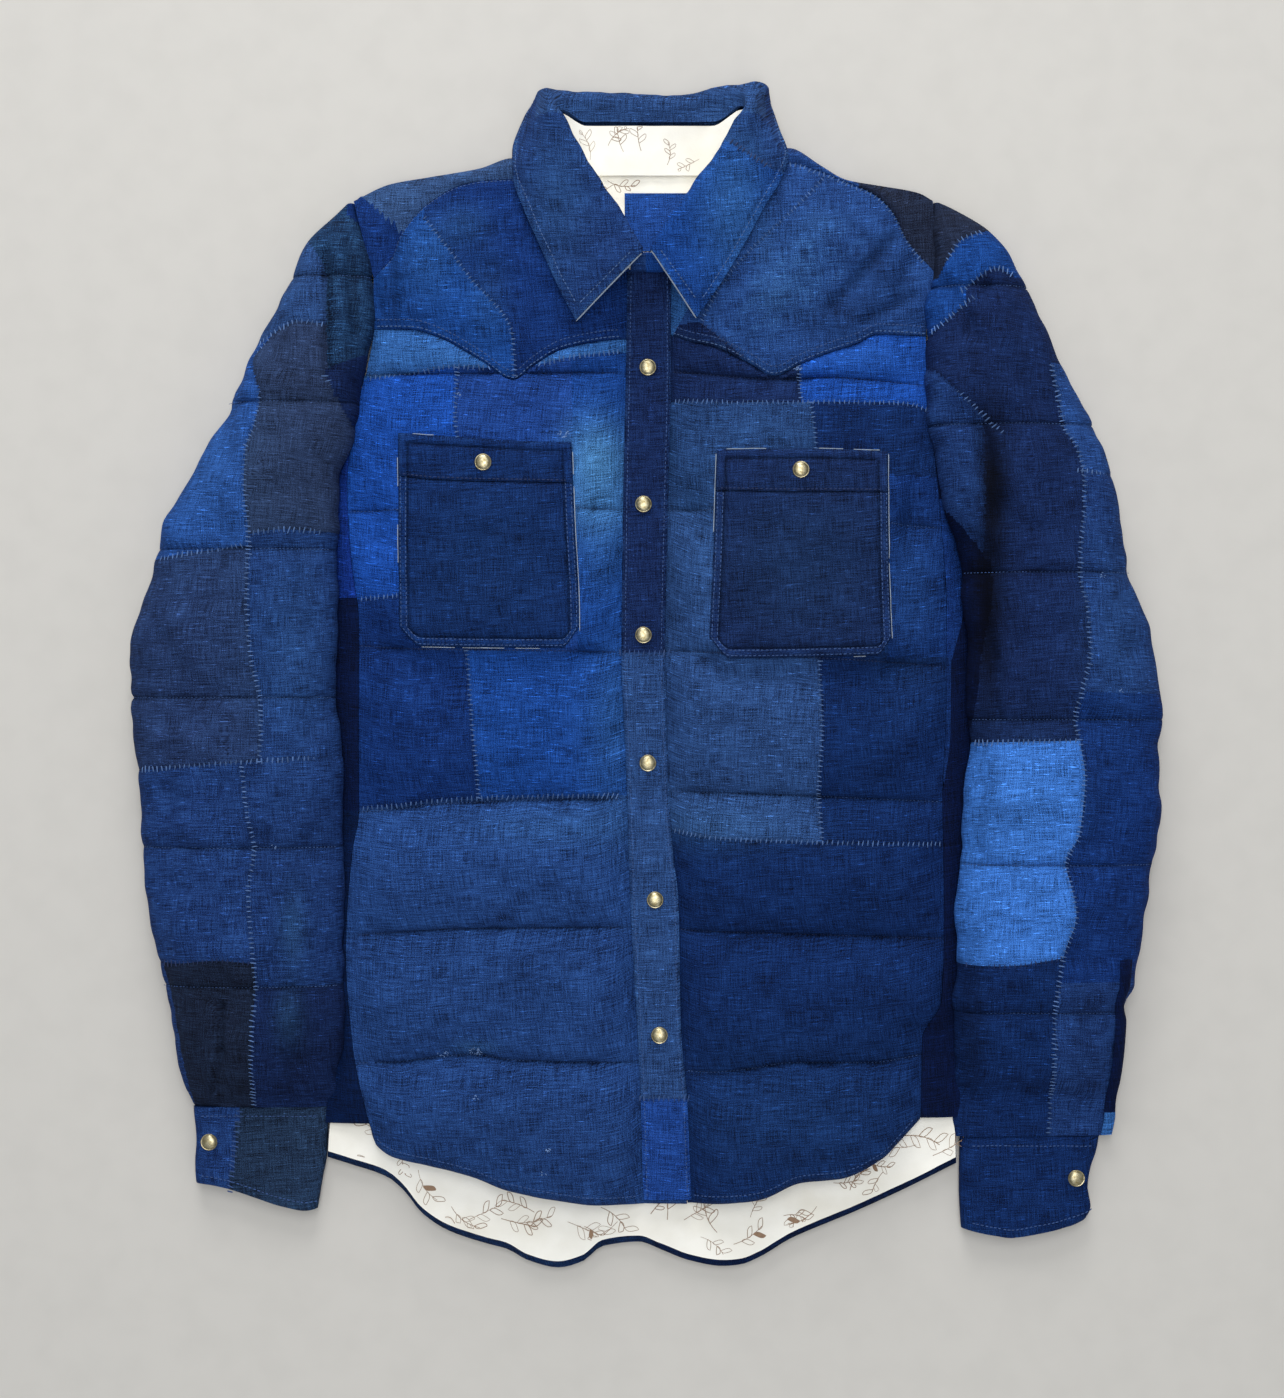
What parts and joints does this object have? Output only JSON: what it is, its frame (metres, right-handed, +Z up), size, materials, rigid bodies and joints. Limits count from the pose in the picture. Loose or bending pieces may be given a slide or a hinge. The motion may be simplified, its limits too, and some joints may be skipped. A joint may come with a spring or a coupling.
{
  "type": "patched quilted jacket laid flat",
  "caption": "Quilted patchwork shirt jacket with snaps, pointed yokes, patch pockets and a turned-down collar, laid flat on its back.",
  "frame": {"origin": "centre of the bounding box on the ground that the jacket lies on", "axes": "+Z up from the ground, +Y from the hem to the collar, +X from the wearer's right to the wearer's left"},
  "size_m": [0.7062, 0.8135, 0.0572],
  "materials": {
    "body_cloth": "dark indigo plain weave over wadding",
    "shoulder_cloth": "faded grey-blue plain weave over wadding",
    "front_cloth": "indigo patchwork over wadding, quilted in rows",
    "yoke_cloth": "indigo patchwork, faded in places",
    "band_cloth": "indigo plain weave, topstitched",
    "pocket_cloth": "dark indigo plain weave, topstitched",
    "sleeve_cloth": "indigo patchwork over wadding, quilted in rings",
    "cuff_cloth": "dark indigo plain weave, topstitched",
    "collar_cloth": "indigo plain weave, topstitched",
    "lining_cloth": "cream plain weave with loose sepia line motifs",
    "patch_cloth": "plain blue cloth",
    "snap_brass": "pale brushed brass"
  },
  "bodies": {
    "root": {"back_panel": "body_cloth", "back_yoke": "shoulder_cloth", "hem_lining": "lining_cloth", "neck_lining": "lining_cloth", "neck_patch": "patch_cloth", "front_right": "front_cloth", "front_left": "front_cloth", "yoke_right": "yoke_cloth", "yoke_left": "yoke_cloth", "shoulder_right": "shoulder_cloth", "shoulder_left": "shoulder_cloth", "side_right": "body_cloth", "side_left": "body_cloth", "placket": "band_cloth", "pocket_right": "pocket_cloth", "pocket_left": "pocket_cloth", "pocket_band_right": "pocket_cloth", "pocket_band_left": "pocket_cloth", "sleeve_right": "sleeve_cloth", "sleeve_left": "sleeve_cloth", "vent_left": "sleeve_cloth", "cuff_right": "cuff_cloth", "cuff_left": "cuff_cloth", "collar": "collar_cloth", "collar_stand": "lining_cloth", "stand_end": "collar_cloth", "placket_snap_1": "snap_brass", "placket_snap_2": "snap_brass", "placket_snap_3": "snap_brass", "placket_snap_4": "snap_brass", "placket_snap_5": "snap_brass", "placket_snap_6": "snap_brass", "pocket_snap_right": "snap_brass", "pocket_snap_left": "snap_brass", "cuff_snap_right": "snap_brass", "cuff_snap_left": "snap_brass"}
  },
  "joints": []
}
